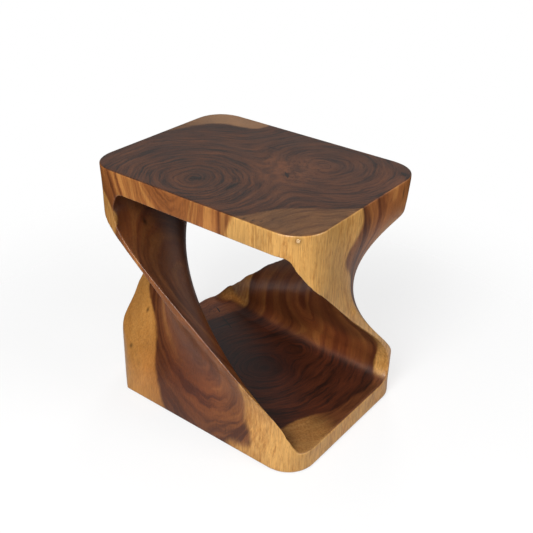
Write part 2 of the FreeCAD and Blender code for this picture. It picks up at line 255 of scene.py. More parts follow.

# Places where the oiled wood is painted darker or lighter, most of them standing for light and
# shade rather than the wood's own tone: painted shade on the inner left wall, the lower front and
# left, the
# floor's middle and the back left wall, and painted light on the back wall and the floor's far
# left:
# place and reaches in mm, and tint
PAINTED_LIGHT_AND_TONES = (
    ((-180, -60, 380), (95, 125, 230), (0.45, 0.36, 0.42)),
    ((-15, -175, 95), (225, 95, 190), (0.64, 0.46, 0.34)),
    ((115, 128, 115), (150, 60, 95), (2.5, 2.4, 2.2)),
    ((-205, -190, 410), (55, 60, 120), (0.70, 0.63, 0.60)),
    ((-250, -110, 90), (70, 120, 130), (0.74, 0.66, 0.56)),
    ((25, 15, 45), (150, 120, 30), (0.50, 0.40, 0.42)),
    ((-180, 178, 88), (130, 70, 110), (0.50, 0.42, 0.40)),
    ((-210, 130, 45), (75, 95, 40), (3.6, 3.3, 2.4)),
    ((254, 90, 440), (60, 190, 160), (1.5, 1.55, 1.7)),
)

# Places where fine checks open round the filled cracks: place and reaches in mm
CHECKED = (
    ((-45, -116, 508), (34, 26, 30)),
    ((10, -72, 508), (22, 14, 30)),
    ((62, 22, 508), (48, 40, 30)),
    ((240, 145, 508), (26, 30, 40)),
    ((-205, 105, 45), (30, 40, 20)),
)

# Knots and dark streaks in the wood: place and reaches in mm
DARK_MARKS = (
    ((-185, -120, 169), (7, 7, 11)),
    ((-195, -166, 99), (7, 7, 12)),
    ((254, 120, 484), (12, 5, 24)),
    ((-28, 90, 508), (24, 5, 60)),
    ((-172, -126, 383), (12, 9, 16)),
    ((227, -173, 499), (12, 12, 13)),
    ((-42, -113, 508), (20, 12, 25)),
    ((28, -99, 508), (8, 26, 25)),
    ((72, 3, 508), (16, 14, 25)),
    ((238, 145, 508), (18, 12, 18)),
    ((253, 150, 488), (8, 9, 24)),
    ((125, -184, 508), (4, 9, 10)),
    ((140, -180, 508), (3, 8, 10)),
    ((153, -174, 508), (3, 7, 10)),
)

# The pads' mesh: sides, steps of the rounding, and the angle up to which faces shade as one
PAD_SIDES = 64
PAD_STEPS = 3
PAD_CREASE = math.radians(40)

# The studio's round lamps: place and width in metres, and whether they shine on glossy wood
LAMPS = {
    "key": ((0.5, -2.0, 2.0), 1.1, True),
    "fill": ((0.1, -2.0, 0.5), 0.7, True),
    "side": ((2.0, 0.35, 1.0), 0.9, True),
    "back": ((-1.1, 2.0, 0.6), 0.9, False),
}
LAMP_AIM = Vector((0, 0, 0.25))

# The studio's floor: sides of the disc, its own light towards the camera, and its greys towards
# the table and the camera
FLOOR_SIDES = 96
FLOOR_GLOW = 0.7
FLOOR_GREY = (0.55, 0.55, 0.55)
FLOOR_WHITE = (0.97, 0.97, 0.97)

# Parts of the world, by direction, between which its sheen on the wood comes in
SHEEN_BACK = (-0.3, 0.6)
SHEEN_ABOVE = (-0.1, 0.2)


class CarvingSizes(bpy.types.PropertyGroup):
    """Sizes of the carver's own finishing work on the block."""

    grain_size: FloatProperty(
        name="Surface grid", description="Spacing of the surface's even grid",
        default=0.003, unit="LENGTH")
    rim_angle: FloatProperty(
        name="Rim angle", description="Edges sharper than this are rims and keep their line",
        default=math.radians(50), subtype="ANGLE")
    rim_reach: FloatProperty(
        name="Rim reach", description="How far from a rim the sanding fades in",
        default=0.011, unit="LENGTH")
    rim_blunt: FloatProperty(
        name="Rim blunting", description="How far knife edges are swelled while they are sanded",
        default=0.0022, unit="LENGTH")
    first_sanding: IntProperty(
        name="First sanding", description="Passes over the swelled block", default=2, min=0)
    rim_sanding: IntProperty(
        name="Rim sanding", description="Passes of sandpaper over rims", default=7, min=0)
    wall_sanding: IntProperty(
        name="Wall sanding", description="Passes of sandpaper over walls", default=60, min=0)
    run_out_sanding: IntProperty(
        name="Run-out sanding", description="Passes where thin rims run out and creases meet",
        default=130, min=0)
    end_sanding: IntProperty(
        name="Rim end sanding", description="Passes of sanding over the rims' drawn-up ends",
        default=24, min=0)
    round_reach: FloatProperty(
        name="Rounding reach",
        description="How far from a rim the outside's long rounding fades in",
        default=0.034, unit="LENGTH")
    rounding: IntProperty(
        name="Rounding", description="Passes that round the outside between its flats and scoops",
        default=260, min=0)
    triangles: IntProperty(
        name="Triangles", description="Most triangles that the body may have", default=190000)
    inlay_lift: FloatProperty(
        name="Inlay lift", description="How far fills stand above the worn wood",
        default=0.00015, unit="LENGTH")
    pad_rounding: FloatProperty(
        name="Pad rounding", description="Rounding of the felt pads' rims",
        default=0.0007, unit="LENGTH")


class WoodLook(bpy.types.PropertyGroup):
    """Colours of the oiled wood, along the grain and across it."""

    heart: FloatVectorProperty(
        name="Heartwood", description="Usual colour of the heartwood along the grain",
        default=(0.27, 0.092, 0.024), subtype="COLOR")
    heart_dark: FloatVectorProperty(
        name="Dark heartwood", description="Dark streaks of the heartwood",
        default=(0.095, 0.025, 0.008), subtype="COLOR")
    # Painted shade on the hollowed inside, given as a darker, redder heartwood
    heart_inside_shade: FloatVectorProperty(
        name="Deep heartwood", description="Heartwood on the hollowed inside",
        default=(0.090, 0.021, 0.007), subtype="COLOR")
    heart_light: FloatVectorProperty(
        name="Light heartwood", description="Orange streaks of the heartwood",
        default=(0.42, 0.175, 0.045), subtype="COLOR")
    sap: FloatVectorProperty(
        name="Sapwood", description="Usual colour of the sapwood along the grain",
        default=(0.60, 0.32, 0.092), subtype="COLOR")
    sap_dark: FloatVectorProperty(
        name="Dark sapwood", description="Streaks of the sapwood",
        default=(0.40, 0.172, 0.036), subtype="COLOR")
    end_heart: FloatVectorProperty(
        name="End grain", description="Usual colour of the heartwood's end grain",
        default=(0.086, 0.028, 0.011), subtype="COLOR")
    end_dark: FloatVectorProperty(
        name="Dark end grain", description="Dark growth rings",
        default=(0.018, 0.007, 0.004), subtype="COLOR")
    end_light: FloatVectorProperty(
        name="Light end grain", description="Light growth rings",
        default=(0.140, 0.048, 0.017), subtype="COLOR")
    burl: FloatVectorProperty(
        name="Burl", description="Reddish mottled wood between the two stems",
        default=(0.21, 0.070, 0.025), subtype="COLOR")
    end_sap: FloatVectorProperty(
        name="Sapwood end grain", description="Usual colour of the sapwood's end grain",
        default=(0.185, 0.082, 0.028), subtype="COLOR")
    end_sap_dark: FloatVectorProperty(
        name="Dark sapwood end grain", description="Growth rings of the sapwood",
        default=(0.090, 0.034, 0.011), subtype="COLOR")
    end_sap_light: FloatVectorProperty(
        name="Light sapwood end grain", description="Sapwood at the top's back corner",
        default=(0.36, 0.185, 0.085), subtype="COLOR")
    # Painted shade on the low end grain, mostly the hollow floor under the top, as a darker and
    # redder tint
    floor_shade_tint: FloatVectorProperty(
        name="Floor tint", description="Deeper tone of the oiled floor",
        default=(0.72, 0.50, 0.45), subtype="COLOR")


class InlayLook(bpy.types.PropertyGroup):
    """Colours of the small pieces set into the wood."""

    filler: FloatVectorProperty(
        name="Filler", description="Usual colour of the dark filler",
        default=(0.012, 0.009, 0.008), subtype="COLOR")
    filler_grit: FloatVectorProperty(
        name="Filler grit", description="Lighter grains in the filler",
        default=(0.040, 0.026, 0.020), subtype="COLOR")
    plug: FloatVectorProperty(
        name="Plug", description="Light end grain of the plug",
        default=(0.78, 0.60, 0.36), subtype="COLOR")
    felt: FloatVectorProperty(
        name="Felt", description="Depth of the felt",
        default=(0.055, 0.036, 0.026), subtype="COLOR")
    felt_fuzz: FloatVectorProperty(
        name="Felt fuzz", description="Loose fibres of the felt",
        default=(0.16, 0.11, 0.08), subtype="COLOR")


class StudioLook(bpy.types.PropertyGroup):
    """Camera, lamps and floor."""

    lens: FloatProperty(
        name="Lens", description="Focal length on a 36 mm sensor", default=55.34, unit="CAMERA")
    place: FloatVectorProperty(
        name="Camera place", description="Where the camera stands",
        default=(0.88197, -1.11710, 1.11253), subtype="TRANSLATION", unit="LENGTH")
    aim: FloatVectorProperty(
        name="View direction", description="Where the camera looks",
        default=(-0.52357, 0.68928, -0.50076), subtype="DIRECTION")
    roll: FloatProperty(
        name="Roll", description="Turn of the camera about its view direction",
        default=math.radians(1.22), subtype="ANGLE")
    key: FloatProperty(
        name="Key lamp", description="Power of the lamp high before the table",
        default=62.0, unit="POWER")
    fill: FloatProperty(
        name="Fill lamp", description="Power of the low lamp before the table",
        default=8.0, unit="POWER")
    side: FloatProperty(
        name="Side lamp", description="Power of the lamp on the table's right",
        default=16.0, unit="POWER")
    back: FloatProperty(
        name="Back lamp", description="Power of the low lamp behind the table",
        default=22.0, unit="POWER")
    ambient: FloatProperty(
        name="Ambient", description="Strength of the even light from all round",
        default=0.2, subtype="FACTOR")
    sheen: FloatProperty(
        name="Back sheen", description="Strength of the light behind that the oiled wood mirrors",
        default=0.58, subtype="FACTOR")
    floor_radius: FloatProperty(
        name="Floor radius", description="Radius of the floor's disc", default=1.2, unit="LENGTH")
    fade_start: FloatProperty(
        name="Fade start", description="Distance at which the floor starts to fade",
        default=0.45, unit="LENGTH")
    fade_end: FloatProperty(
        name="Fade end", description="Distance at which the floor has gone",
        default=1.1, unit="LENGTH")


class TableSettings(bpy.types.PropertyGroup):
    """Everything that a user of this table may change."""

    carving: PointerProperty(type=CarvingSizes)
    wood: PointerProperty(type=WoodLook)
    inlays: PointerProperty(type=InlayLook)
    studio: PointerProperty(type=StudioLook)


class Field:
    """One value over a surface: sums and products of fields add Math nodes."""

    def __init__(self, finish, socket):
        self.finish = finish
        self.socket = socket

    def math(self, operation, *others):
        return self.finish.math(operation, self, *others)

    def __add__(self, other):
        return self.math("ADD", other)

    def __radd__(self, other):
        return self.math("ADD", other)

    def __sub__(self, other):
        return self.math("SUBTRACT", other)

    def __rsub__(self, other):
        return self.finish.math("SUBTRACT", other, self)

    def __mul__(self, other):
        return self.math("MULTIPLY", other)

    def __rmul__(self, other):
        return self.math("MULTIPLY", other)

    def __truediv__(self, other):
        return self.math("DIVIDE", other)

    def __pow__(self, other):
        return self.math("POWER", other)

    def step(self, low, high):
        """0 below low, 1 above high, smooth between; the other way round if low is the higher."""
        inputs = {"Value": self, "From Min": low, "From Max": high}
        return self.finish.add(
            "ShaderNodeMapRange", {"interpolation_type": "SMOOTHSTEP"}, inputs)


class Finish:
    """The nodes of a material or of the world, put together one by one."""

    def __init__(self, owner):
        owner.use_nodes = True
        self.owner = owner
        self.tree = owner.node_tree
        self.tree.nodes.clear()

    def add(self, kind, settings=None, inputs=None, output=0):
        """New node with its settings, then its sockets; gives the named output, or several."""
        node = self.tree.nodes.new(kind)
        for name, setting in (settings or {}).items():
            setattr(node, name, setting)
        for name, value in (inputs or {}).items():
            if isinstance(value, Field):
                self.tree.links.new(value.socket, node.inputs[name])
            else:
                node.inputs[name].default_value = value
        if isinstance(output, tuple):
            return [Field(self, node.outputs[name]) for name in output]
        return Field(self, node.outputs[output]) if node.outputs else None

    def math(self, operation, *values):
        return self.add("ShaderNodeMath", {"operation": operation}, dict(enumerate(values)))

    def vector(self, x, y, z):
        return self.add("ShaderNodeCombineXYZ", None, {"X": x, "Y": y, "Z": z})

    def vector_math(self, operation, inputs, output=0):
        return self.add("ShaderNodeVectorMath", {"operation": operation}, inputs, output)

    def object_place(self):
        return self.add("ShaderNodeTexCoord", None, None, "Object")

    def noise(self, vector, detail, roughness, output="Fac"):
        inputs = {"Vector": vector, "Scale": 1.0, "Detail": detail, "Roughness": roughness}
        return self.add("ShaderNodeTexNoise", {"noise_dimensions": "3D"}, inputs, output)

    def grit(self, scale, detail, roughness):
        """Fine even noise all over a piece."""
        scaled = self.vector_math("SCALE", {0: self.object_place(), "Scale": scale})
        return self.noise(scaled, detail, roughness)

    def relief(self, strength, depth, height):
        inputs = {"Strength": strength, "Distance": depth, "Height": height}
        return self.add("ShaderNodeBump", None, inputs)

    def colour(self, value):
        return value if isinstance(value, Field) else (*value, 1.0)

    def blend(self, share, low, high):
        """Colour that goes from low to high as the share goes from 0 to 1."""
        inputs = {0: share, 6: self.colour(low), 7: self.colour(high)}
        return self.add("ShaderNodeMix", {"data_type": "RGBA"}, inputs, 2)

    def tint(self, share, colour, tint):
        """Colour times a tint, by a share."""
        inputs = {0: share, 6: self.colour(colour), 7: self.colour(tint)}
        settings = {"data_type": "RGBA", "blend_type": "MULTIPLY"}
        return self.add("ShaderNodeMix", settings, inputs, 2)

    def nearness(self, place, spot, reaches):
        """1 at a spot, 0 beyond its reaches along the axes; spot and reaches are in mm."""
        scaled = self.vector_math("MULTIPLY_ADD", {
            0: place,
            1: tuple(TO_MM / reach for reach in reaches),
            2: tuple(-at / reach for at, reach in zip(spot, reaches))})
        return self.vector_math("LENGTH", {0: scaled}, "Value").step(1.0, 0.0)

    def surface(self, inputs):
        shader = self.add("ShaderNodeBsdfPrincipled", None, inputs)
        self.add("ShaderNodeOutputMaterial", None, {"Surface": shader})
        return self.owner


class Timber(Finish):
    """The block's wood: one solid pattern round two piths that lean apart towards the top."""

    def __init__(self, owner):
        super().__init__(owner)
        self.place = self.object_place()
        axes = self.add("ShaderNodeSeparateXYZ", None, {0: self.place}, ("X", "Y", "Z"))
        self.x, self.y, self.z = (axis * TO_MM for axis in axes)
        self.share_x = self.x / HALF_LENGTH
        self.share_y = self.y / HALF_DEPTH
        self.share_z = self.z / HEIGHT
        self.sway_x, self.sway_y = self.drift("sway")
        self.swirl_x, self.swirl_y = self.drift("swirl")
        self.fibres = self.texture("fibres")
        self.pores = self.texture("pores").step(*LIMITS["pores"])
        self.cloud = self.texture("cloud")
        self.grow_rings()
        self.end_heartwood()
        self.find_sides()

    def texture(self, name, output="Fac"):
        """One of the wood's textures, stretched along the grain."""
        width, length, detail, roughness = TEXTURES[name]
        stretched = self.vector(self.x / width, self.y / width, self.z / length)
        return self.noise(stretched, detail, roughness, output)

    def drift(self, name):
        """Two fields about 0 that push the rings sideways."""
        colour = self.texture(name, "Color")
        axes = self.add("ShaderNodeSeparateXYZ", None, {0: colour}, ("X", "Y"))
        return [axis - MIDDLE for axis in axes]

    def mixed(self, name, first, second):
        return first * MIXES[name] + second * (1 - MIXES[name])

    def darken(self, share, colour, feature):
        """Colour times the grey of a feature that darkens the wood, by a share."""
        depth, grey = DARKENING[feature]
        return self.tint(share * depth, colour, (grey,) * 3)

    def from_spot(self, x, y, spot_x, spot_y):
        """Distance in plan from a spot, which may be a field."""
        return ((x - spot_x) ** 2 + (y - spot_y) ** 2) ** 0.5

    def from_pith(self, x, y, pith):
        rise = self.z - FLOOR_LEVEL
        return self.from_spot(x, y, *(rise * lean + foot for foot, lean in pith))

    def over_plan(self, centre, right, back):
        """Field with one value at the centre, and what is added at the right end and the back."""
        return self.share_x * right + self.share_y * back + centre

    def grow_rings(self):
        """Rings, bands and streaks, which sway, and swirl where the two stems meet."""
        x, y, z = self.x, self.y, self.z
        crotch = self.from_spot(x, y, *CROTCH).step(*LIMITS["crotch"])
        self.crotch = crotch * z.step(*LIMITS["crotch_height"])
        bent_x = x + self.sway_x * SWAY_PUSH + self.swirl_x * self.crotch * SWIRL_PUSH
        bent_y = y + self.sway_y * SWAY_PUSH + self.swirl_y * self.crotch * SWIRL_PUSH
        self.main_reach = self.from_pith(bent_x, bent_y, MAIN_PITH)
        second_reach = self.from_pith(bent_x, bent_y, SECOND_PITH) + STEM_DELAY
        reach = self.math("SMOOTH_MIN", self.main_reach, second_reach, RING_BLEND)
        # The lengths in mm over which each pattern changes along the rings
        self.fine = self.layered("fine", reach, x / 60, y / 60 + z / 300)
        bands = self.layered("bands", reach, x / 300 + y / 350, z / 700)
        broad = self.layered("broad", reach, x / 300, z / 600)
        gain = (self.share_z - STREAK_LEVEL) * STREAK_GAIN
        self.streak = self.mixed("streak", bands, broad) + gain
        self.ring = self.mixed("ring", self.fine, bands)

    def layered(self, name, reach, second, third):
        """One of the patterns that follow the rings, at a distance from the piths."""
        spacing, detail, roughness = LAYERS[name]
        return self.noise(self.vector(reach / spacing, second, third), detail, roughness)

    def end_heartwood(self):
        """Where sapwood takes over from heartwood, and the dark edge before it."""
        reaches = (self.from_pith(self.x, self.y, pith) for pith in (MAIN_PITH, SECOND_PITH))
        reach = self.math("SMOOTH_MIN", *reaches, HEART_BLEND)
        end = self.over_plan(*HEART_REACH) + self.share_z * self.over_plan(*HEART_GROWTH)
        for spot, spot_reach, bulge in HEART_BULGES:
            end = end + self.nearness(self.place, spot, (spot_reach,) * 3) * bulge
        past_end = reach - end + self.sway_x * EDGE_SWAY + self.swirl_y * EDGE_SWIRL
        self.sap = past_end.step(*LIMITS["sapwood"])
        self.heart_edge = past_end.step(*LIMITS["heart_edge"]) * (1 - self.sap)

    def find_sides(self):
        """Which faces cut across the grain, and which face the table's axis."""
        facing = self.add("ShaderNodeNewGeometry", None, None, "Normal")
        upright = self.add("ShaderNodeSeparateXYZ", None, {0: facing}, "Z").math("ABSOLUTE")
        self.end_grain = upright.step(*LIMITS["end_grain"])
        level = (1.0, 1.0, 0.0)
        level_facing = self.vector_math("MULTIPLY", {0: facing, 1: level})
        outward = self.vector_math("MULTIPLY", {0: self.place, 1: level})
        outward = self.vector_math("NORMALIZE", {0: outward})
        turned_out = self.vector_math("DOT_PRODUCT", {0: level_facing, 1: outward}, "Value")
        self.inside = turned_out.step(*LIMITS["inside"])

    def along(self, look):
        """Colour of faces along the grain."""
        heart = self.blend(
            self.streak.step(*LIMITS["heart_streaks"]), look.heart_dark, look.heart)
        heart = self.blend(self.streak.step(*LIMITS["light_streaks"]), heart, look.heart_light)
        # Painted shade: heartwood on faces turned inwards is blended to a darker, redder colour
        heart = self.blend(self.inside * SHARES["inside"], heart, look.heart_inside_shade)
        # Painted shade on the lower left of the outside, partly also the wood's own darker, more
        # orange hue there: heartwood and sapwood are blended to their dark colours
        shaded = self.x.step(*LIMITS["shade_length"]) * self.z.step(*LIMITS["shade_height"])
        shaded = shaded * (1 - self.inside)
        heart = self.blend(shaded * SHARES["shaded_heart"], heart, look.heart_dark)
        mottle = self.mixed("sap_mottle", self.streak, self.texture("flecks"))
        sapwood = self.blend(mottle.step(*LIMITS["sap_streaks"]), look.sap_dark, look.sap)
        sapwood = self.blend(shaded * SHARES["shaded_sap"], sapwood, look.sap_dark)
        return self.blend(self.sap, self.darken(self.heart_edge, heart, "edge_along"), sapwood)

    def across(self, look):
        """Colour of faces across the grain."""
        rings = self.blend(self.ring.step(*LIMITS["rings"]), look.end_dark, look.end_heart)
        rings = self.blend(self.ring.step(*LIMITS["light_rings"]), rings, look.end_light)
        rings = self.darken(self.main_reach.step(*LIMITS["pith"]), rings, "pith")
        mottle = self.mixed("burl_mottle", self.swirl_x, self.fine)
        burl = self.blend(mottle.step(*LIMITS["burl"]), look.end_heart, look.burl)
        rings = self.blend(self.crotch * SHARES["burl"], rings, burl)
        sapwood = self.blend(
            self.ring.step(*LIMITS["sap_rings"]), look.end_sap_dark, look.end_sap)
        sapwood = self.blend(
            self.nearness(self.place, *LIGHT_SAP), sapwood, look.end_sap_light)
        wood = self.blend(self.sap, self.darken(self.heart_edge, rings, "edge_across"), sapwood)
        # Painted shade: end grain low down is tinted darker and redder towards the floor
        return self.tint(self.z.step(*LIMITS["floor"]), wood, look.floor_shade_tint)

    def age(self, wood):
        """Colour with the wood's clouds and pores, tones that are mostly painted shade and painted
        light, and checks and marks.
        """
        clouds = (self.cloud - MIDDLE) * SHARES["cloud"]
        wood = self.tint(1.0, wood, clouds + (self.fibres - MIDDLE) + 1.0)
        wood = self.darken(self.pores, wood, "pores")
        # Painted shade and painted light in the listed places, multiplied into the wood's colour
        for spot, reaches, tone in PAINTED_LIGHT_AND_TONES:
            wood = self.tint(self.nearness(self.place, spot, reaches), wood, tone)
        veins = (self.texture("veins") - MIDDLE).math("ABSOLUTE").step(*LIMITS["veins"])
        for spot, reaches in CHECKED:
            wood = self.darken(self.nearness(self.place, spot, reaches) * veins, wood, "checks")
        for spot, reaches in DARK_MARKS:
            wood = self.darken(self.nearness(self.place, spot, reaches), wood, "marks")
        return wood


def oiled_wood(look):
    """Heartwood and sapwood with a satin oil finish."""
    oil = Timber(bpy.data.materials.new("oiled_wood"))
    dish = oil.nearness(oil.place, *DISH).step(*LIMITS["dish"])
    cut_across = oil.end_grain * (1 - dish * oil.sap * SHARES["dish"])
    wood = oil.blend(cut_across, oil.along(look), oil.across(look))
    height = (
        oil.fibres * HEIGHTS["fibres"] + oil.pores * HEIGHTS["pores"]
        + oil.ring * HEIGHTS["ring"])
    roughening = (
        oil.pores * ROUGHENING["pores"] + oil.end_grain * ROUGHENING["end_grain"]
        + (oil.cloud - MIDDLE) * ROUGHENING["cloud"])
    return oil.surface({
        "Base Color": oil.age(wood),
        "Roughness": ROUGHNESS["oiled_wood"] + roughening,
        "Normal": oil.relief(*RELIEF["oiled_wood"], height),
    })


def dark_filler(look):
    """Dark resin filler, slightly grainy."""
    resin = Finish(bpy.data.materials.new("dark_filler"))
    grit = resin.grit(*GRIT["dark_filler"])
    light = grit.step(*LIMITS["filler_grit"])
    return resin.surface({
        "Base Color": resin.blend(light, look.filler, look.filler_grit),
        "Roughness": ROUGHNESS["dark_filler"] + grit * ROUGHENING["filler"],
        "Normal": resin.relief(*RELIEF["dark_filler"], grit),
    })


def plug_wood(wood, look):
    """Light end grain of the small plug."""
    plug = Finish(bpy.data.materials.new("plug_wood"))
    speckle = plug.grit(*GRIT["plug_wood"])
    light = speckle.step(*LIMITS["plug_speckle"])
    return plug.surface({
        "Base Color": plug.blend(light, wood.sap_dark, look.plug),
        "Roughness": ROUGHNESS["plug_wood"] + speckle * ROUGHENING["plug"],
    })


def felt(look):
    """Brown wool felt with loose fibres."""
    wool = Finish(bpy.data.materials.new("felt"))
    fuzz = wool.grit(*GRIT["felt"])
    light = fuzz.step(*LIMITS["felt_fuzz"])
    return wool.surface({
        "Base Color": wool.blend(light, look.felt, look.felt_fuzz),
        "Roughness": ROUGHNESS["felt"],
        "Sheen Weight": FELT_SHEEN,
        "Normal": wool.relief(*RELIEF["felt"], fuzz),
    })


def ease(share):
    """0 at 0 and below, 1 at 1 and above, smooth between."""
    share = min(max(share, 0.0), 1.0)
    return share * share * (3 - 2 * share)


def new_object(name, data):
    """New object in the scene."""
    made = bpy.data.objects.new(name, data)
    bpy.context.scene.collection.objects.link(made)
    return made


def pick(piece):
    """Makes a piece the only selected one, and the active one."""
    if bpy.context.object and bpy.context.object.mode != "OBJECT":
        bpy.ops.object.mode_set(mode="OBJECT")
    bpy.ops.object.select_all(action="DESELECT")
    bpy.context.view_layer.objects.active = piece
    piece.select_set(True)


def copy_of(node, name):
    """Copy of a CAD node's mesh in a new piece, with its loose triangles joined."""
    piece = new_object(name, NODES[node].data.copy())
    pick(piece)
    bpy.ops.object.mode_set(mode="EDIT")
    bpy.ops.mesh.select_all(action="SELECT")
    bpy.ops.mesh.remove_doubles(threshold=JOIN_REACH)
    bpy.ops.mesh.select_all(action="DESELECT")
    return piece


def apply(piece, name, kind, **settings):
    """Modifier with its settings, applied at once."""
    modifier = piece.modifiers.new(name, kind)
    for setting, value in settings.items():
        setattr(modifier, setting, value)
    bpy.ops.object.modifier_apply(modifier=name)


def sand(piece, name, passes, group=""):
    """Passes of smoothing over a piece, or over a group of its points."""
    apply(piece, name, "SMOOTH", factor=SANDING_SHARE, iterations=passes, vertex_group=group)


def dress(piece, material, node):
    """Gives a new piece its material and lets it stand for its CAD node."""
    piece.data.materials.clear()
    piece.data.materials.append(material)
    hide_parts(node)
    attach(piece, "root")


def finish_node(name, material):
    """Gives a CAD node that stays a better material."""
    slots = NODES[name].data.materials
    if len(slots):
        slots[0] = material
    else:
        slots.append(material)


class TABLE_OT_carve_body(bpy.types.Operator):
    """Sand the carved block: close its recesses, round its rims, smooth its walls and oil it"""

    bl_idname = "table.carve_body"
    bl_label = "Carve Body"

    def execute(self, context):
        sizes = context.scene.table.carving
        body = copy_of("carved_body", "table_body")
        self.close_recesses(body)
        rims = self.rim_points(body, sizes.rim_angle, sizes.grain_size)
        pick(body)
        apply(body, "swell", "DISPLACE", strength=sizes.rim_blunt, mid_level=0.0)
        apply(body, "even_grid", "REMESH", mode="VOXEL", voxel_size=sizes.grain_size)
        self.mark_walls(body, rims, sizes)
        sand(body, "first_sanding", sizes.first_sanding)
        apply(body, "shrink", "DISPLACE", strength=-sizes.rim_blunt, mid_level=0.0)
        sand(body, "rim_sanding", sizes.rim_sanding)
        sand(body, "wall_sanding", sizes.wall_sanding, "walls")
        sand(body, "run_outs", sizes.run_out_sanding, "run_outs")
        self.draw_up_rims(body)
        sand(body, "rim_ends", sizes.end_sanding, "run_outs")
        sand(body, "rounding", sizes.rounding, "outside")
        count = sum(len(face.vertices) - 2 for face in body.data.polygons)
        ratio = min(1.0, sizes.triangles / count)
        apply(body, "thinning", "DECIMATE", ratio=ratio, use_collapse_triangulate=True)
        self.settle_faces(body, sizes.inlay_lift)
        bpy.ops.object.shade_smooth()
        dress(body, oiled_wood(context.scene.table.wood), "carved_body")
        return {"FINISHED"}

    def close_recesses(self, body):
        """Takes out the recesses under the inlaid pieces, which the inlays hide."""
        mesh = bmesh.from_edit_mesh(body.data)
        margin = Vector((RECESS_REACH,) * 3)
        for name in FILLS + PADS + ["knot_plug"]:
            low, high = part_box(name)
            level = high.z
            low, high = low - margin, high + margin
            for face in mesh.faces:
                inside = all(
                    low[axis] <= v.co[axis] <= high[axis] for v in face.verts for axis in range(3))
                flush = inside and all(abs(v.co.z - level) < FLUSH_REACH for v in face.verts)
                if inside and not (flush and name in FILLS):
                    face.select_set(True)
        bmesh.update_edit_mesh(body.data)
        bpy.ops.mesh.delete(type="FACE")
        bpy.ops.mesh.select_all(action="DESELECT")
        bpy.ops.mesh.select_non_manifold()
        bpy.ops.mesh.fill_holes(sides=0)
        bpy.ops.mesh.select_all(action="SELECT")
        bpy.ops.mesh.quads_convert_to_tris()
        bpy.ops.mesh.select_all(action="DESELECT")
        mesh = bmesh.from_edit_mesh(body.data)
        if any(not edge.is_manifold for edge in mesh.edges):
            raise RuntimeError("the body isn't closed after its recesses were filled")

    def rim_points(self, body, angle, spacing):
        """Points along the rims, closer together than the grid."""
        mesh = bmesh.from_edit_mesh(body.data)
        points = []
        for edge in mesh.edges:
            if edge.is_manifold and edge.calc_face_angle() > angle:
                first, last = (v.co.copy() for v in edge.verts)
                steps = max(1, math.ceil((last - first).length / spacing))
                points += [first.lerp(last, step / steps) for step in range(steps + 1)]
        tree = KDTree(len(points))
        for index, point in enumerate(points):
            tree.insert(point, index)
        tree.balance()
        return tree

    def mark_walls(self, body, rims, sizes):
        """Weights that keep the sanding of walls and the long rounding away from the rims."""
        walls = body.vertex_groups.new(name="walls")
        outside = body.vertex_groups.new(name="outside")
        run_outs = body.vertex_groups.new(name="run_outs")
        low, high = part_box("carved_body")
        for vertex in body.data.vertices:
            place, facing = vertex.co, vertex.normal
            away = min(rims.find(place)[2], abs(place.z - low.z), abs(high.z - place.z))
            walls.add([vertex.index], ease(away / sizes.rim_reach), "REPLACE")
            if facing.xy.dot(place.xy.normalized()) > OUTSIDE_SHARE:
                outside.add([vertex.index], ease(away / sizes.round_reach), "REPLACE")
            nearest = min(
                (place * TO_MM - Vector(spot)).length / reach for spot, reach in RUN_OUTS)
            run_outs.add([vertex.index], ease(RUN_OUT_FADE - RUN_OUT_FADE * nearest), "REPLACE")

    def draw_up_rims(self, body):
        """Raises the rims' thin ends, which the sanding lowers."""
        for vertex in body.data.vertices:
            place = vertex.co * TO_MM
            rise = sum(
                height * ease(1 - (place - Vector(spot)).length / reach)
                for spot, reach, height in RIM_ENDS)
            vertex.co.z += rise / TO_MM

    def settle_faces(self, body, lift):
        """Levels the flat faces, a little lower where fills lie flush, so that these show."""
        low, high = CAD_BOX
        levels = {round(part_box(name)[1].z, LEVEL_DIGITS): lift for name in FILLS}
        levels[round(low.z + PAD_STAND, LEVEL_DIGITS)] = 0.0
        flat = [abs(vertex.normal.z) > FLAT_SHARE for vertex in body.data.vertices]
        for vertex, is_flat in zip(body.data.vertices, flat):
            place = vertex.co.copy()
            for level, drop in levels.items():
                if is_flat and abs(place.z - level) < LEVEL_REACH:
                    place.z = level - drop
            vertex.co = [min(max(at, least), most) for at, least, most in zip(place, low, high)]


class TABLE_OT_set_fills(bpy.types.Operator):
    """Finish the dark fills in the cracks of the top and of the floor"""

    bl_idname = "table.set_fills"
    bl_label = "Set Fills"

    def execute(self, context):
        resin = dark_filler(context.scene.table.inlays)
        for name in FILLS:
            finish_node(name, resin)
        return {"FINISHED"}


class TABLE_OT_set_plug(bpy.types.Operator):
    """Finish the small plug near the top's front corner"""

    bl_idname = "table.set_plug"
    bl_label = "Set Plug"

    def execute(self, context):
        settings = context.scene.table
        finish_node("knot_plug", plug_wood(settings.wood, settings.inlays))
        return {"FINISHED"}


